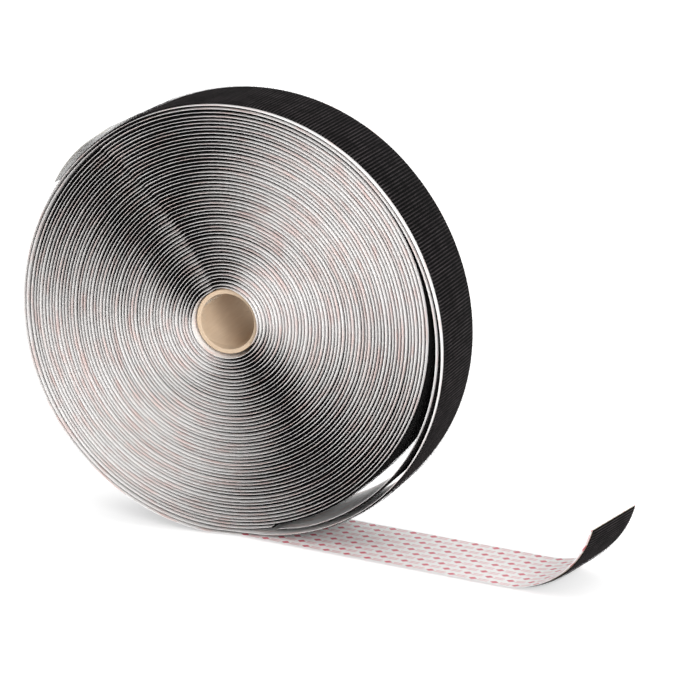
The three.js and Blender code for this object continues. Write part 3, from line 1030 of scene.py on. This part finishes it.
# %% Shape of the core
CORE_BORE_RADIUS = 16.0
CORE_OUTER_RADIUS = (core_high[2] - core_low[2]) / 2
CORE_ROUND = 0.45
CORE_ROUND_POINTS = 5
CORE_STEPS = 180
BORE_ROWS = 130
BORE_MARGIN = 0.01
SEAM_LEAD = 62.0
SEAM_DEPTH = 0.22
SEAM_WIDTH = 0.7


def core_ring():
    """Radius and width round the tube's wall: the bore in many rows, and four rounded corners."""
    quarter = np.linspace(0.0, np.pi / 2, CORE_ROUND_POINTS)
    sine, cosine = CORE_ROUND * np.sin(quarter), CORE_ROUND * np.cos(quarter)
    inner, outer = CORE_BORE_RADIUS + CORE_ROUND, CORE_OUTER_RADIUS - CORE_ROUND
    near, far = core_low[1] + CORE_ROUND, core_high[1] - CORE_ROUND
    bore = np.stack([np.full(BORE_ROWS, CORE_BORE_RADIUS), np.linspace(near, far, BORE_ROWS)], axis=1)
    far_in = np.stack([inner - cosine, far + sine], axis=1)
    far_out = np.stack([outer + sine, far + cosine], axis=1)
    near_out = np.stack([outer + cosine, near - sine], axis=1)
    near_in = np.stack([inner - sine, near - cosine], axis=1)
    return np.concatenate([bore, far_in[1:], far_out, near_out, near_in[:-1]])


def seam_groove(turn, width):
    """Depth of the seam: a bell curve of the distance to a helix that repeats every lead."""
    off = np.mod(width - SEAM_LEAD * turn + SEAM_LEAD / 2, SEAM_LEAD) - SEAM_LEAD / 2
    return SEAM_DEPTH * np.exp(-((off / SEAM_WIDTH) ** 2))


def cardboard_core():
    """The ring turned about the axis: x = r cos a, z = r sin a, with the seam pressed into the bore."""
    ring = core_ring()
    turn = np.arange(CORE_STEPS + 1)[:, None] / CORE_STEPS
    inside = ring[None, :, 0] < CORE_BORE_RADIUS + BORE_MARGIN
    radius = ring[None, :, 0] + np.where(inside, seam_groove(turn, ring[None, :, 1]), 0.0)
    width = np.broadcast_to(ring[None, :, 1], radius.shape)
    angle = 2 * np.pi * turn
    grid = np.stack([radius * np.cos(angle), width, radius * np.sin(angle)], axis=2)
    points = grid[:-1].reshape(-1, 3) + (0.0, 0.0, AXIS_HEIGHT)
    faces = ring_faces(CORE_STEPS + 1, len(ring)) % len(points)
    return make_piece("cardboard_core", points, faces, [], KRAFT_BOARD)


core = cardboard_core()
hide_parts("core_tube")
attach(core, "wound_roll")

# %% [markdown]
# ## The clear strap
#
# A clear film is wrapped once round the ring: over the rim, down the front, through the bore, and taut from
# the core's back end to the rim. It is wide on the rim and gathers to a narrow band in the bore. Cloth
# simulation could pull it taut, but a taut film is nearly straight between its corners, so a formula is
# enough. Its surface is a function of two parameters: the way round the loop, a polygon with rounded
# corners, and the place across the band, which fans out with the radius. Film that is seen straight on is
# nearly invisible, and at a low angle it turns pale and bright, so its alpha rises with the Layer Weight
# and shows a pale cream colour there, which is a painted sheen over the film's faint tint.

# %% Material of the strap
# The film's colour shows where it is seen at a low angle: its faint tint and a painted pale sheen.
FILM_TINT_AND_SHEEN = (0.74, 0.69, 0.60, 1.0)
FILM_FACING = (0.35, 0.95)
FILM_ALPHA = (0.0, 0.9)


def clear_film():
    """Glossy film, nearly clear when seen straight on, and paler at a low angle by a painted sheen."""
    material, shader = start_material("clear_film", roughness=0.12, specular=0.6)
    shader.inputs["Base Color"].default_value = FILM_TINT_AND_SHEEN
    facing = add_node(material, "LayerWeight", {"Blend": 0.35}).outputs["Facing"]
    link(material, ranged(material, facing, FILM_FACING, FILM_ALPHA), shader, "Alpha")
    creases = noise(material, object_place(material), scale=45.0, detail=2.0)
    roughen(material, shader, creases, strength=0.25, depth=0.001)
    return material


CLEAR_FILM = clear_film()
print("material:", CLEAR_FILM.name)

# %% The strap's way round the roll
STRAP_STANDS_OFF = 0.7
STRAP_OVER_HOOKS = 1.3
STRAP_RIM = ROLL_RADIUS + STRAP_OVER_HOOKS
STRAP_BORE = CORE_BORE_RADIUS - STRAP_STANDS_OFF
STRAP_SIDE = HALF_WIDTH + FLAP_WIDTH + STRAP_STANDS_OFF
STRAP_CORNER = 3.2
CORNER_POINTS = 7
CORNER_SHARE = 0.45
STRAP_STEP = 4.0


def rounded_corner(before, corner, after):
    """A corner as the curve (1-t)^2 A + 2t(1-t) B + t^2 C between points on its two sides."""
    share = np.linspace(0.0, 1.0, CORNER_POINTS)[:, None]
    back, on = np.linalg.norm(before - corner), np.linalg.norm(after - corner)
    reach = min(STRAP_CORNER, CORNER_SHARE * back, CORNER_SHARE * on)
    first = corner + (before - corner) * reach / back
    last = corner + (after - corner) * reach / on
    return (1 - share) ** 2 * first + 2 * share * (1 - share) * corner + share ** 2 * last


def strap_loop():
    """Radius and width round the loop, with the way out of it: straight runs and rounded corners."""
    back = core_high[1] + STRAP_STANDS_OFF
    corners = np.array([
        (STRAP_RIM, -STRAP_SIDE), (STRAP_RIM, STRAP_SIDE), (CORE_OUTER_RADIUS + STRAP_STANDS_OFF, back),
        (STRAP_BORE, back), (STRAP_BORE, -STRAP_SIDE),
    ])
    sides = zip(np.roll(corners, 1, axis=0), corners, np.roll(corners, -1, axis=0))
    rough = np.concatenate([rounded_corner(*side) for side in sides])
    following = np.roll(rough, -1, axis=0)
    gaps = np.linalg.norm(following - rough, axis=1)
    shares = [np.linspace(0.0, 1.0, int(gap // STRAP_STEP) + 2)[:-1, None] for gap in gaps]
    runs = [start + (end - start) * share for start, end, share in zip(rough, following, shares)]
    line = np.concatenate(runs)
    tangent = np.roll(line, -1, axis=0) - np.roll(line, 1, axis=0)
    tangent /= np.linalg.norm(tangent, axis=1, keepdims=True)
    return np.concatenate([line, tangent[:, 1:], -tangent[:, :1]], axis=1)


strap_way = strap_loop()
print("strap loop:", len(strap_way), "places")

# %% Shape of the strap
STRAP_ANGLE = np.radians(135.0)
STRAP_RIM_WIDTH = 48.0
STRAP_BORE_WIDTH = 6.0
STRAP_FILM = 0.12
STRAP_COLUMNS = 13
STRAP_BULGE = 0.9
STRAP_HUG = 1.1
STRAP_HUG_FROM = 22.0
STRAP_HUG_RAMP = 5.0
RIM_FROM = 0.9
RIM_RAMP = 0.1


def clear_strap(loop):
    """The band: at each place of the loop it fans out by an angle whose width is linear in the radius.

    On the rim its middle stands off the hooks by a parabola across, and its two ends come in to the tape's
    edge past the hooks.
    """
    across = np.linspace(-1.0, 1.0, STRAP_COLUMNS)
    sheet = np.concatenate([across, across[::-1]])[None, :]
    film = np.repeat([0.0, STRAP_FILM], STRAP_COLUMNS)[None, :]
    radius = loop[:, :1] - loop[:, 2:3] * film
    width = loop[:, 1:2] - loop[:, 3:] * film
    share = np.clip((loop[:, :1] - STRAP_BORE) / (STRAP_RIM - STRAP_BORE), 0.0, 1.0)
    band = STRAP_BORE_WIDTH + (STRAP_RIM_WIDTH - STRAP_BORE_WIDTH) * share
    angle = STRAP_ANGLE + sheet * np.arcsin(band / 2 / loop[:, :1])
    on_rim = np.clip((share - RIM_FROM) / RIM_RAMP, 0.0, 1.0)
    past_hooks = np.clip((np.abs(loop[:, 1:2]) - STRAP_HUG_FROM) / STRAP_HUG_RAMP, 0.0, 1.0)
    hugging = past_hooks ** 2 * (3 - 2 * past_hooks)
    radius = radius + on_rim * (STRAP_BULGE * (1 - sheet ** 2) - STRAP_HUG * hugging * sheet ** 2)
    grid = np.stack([radius * np.cos(angle), width, AXIS_HEIGHT + radius * np.sin(angle)], axis=2)
    rows, columns = grid.shape[:2]
    faces = ring_faces(rows + 1, columns) % (rows * columns)
    return make_piece("clear_strap", grid.reshape(-1, 3), faces, [], CLEAR_FILM)


strap = clear_strap(strap_way)
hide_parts("binding_strap")
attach(strap, "wound_roll")
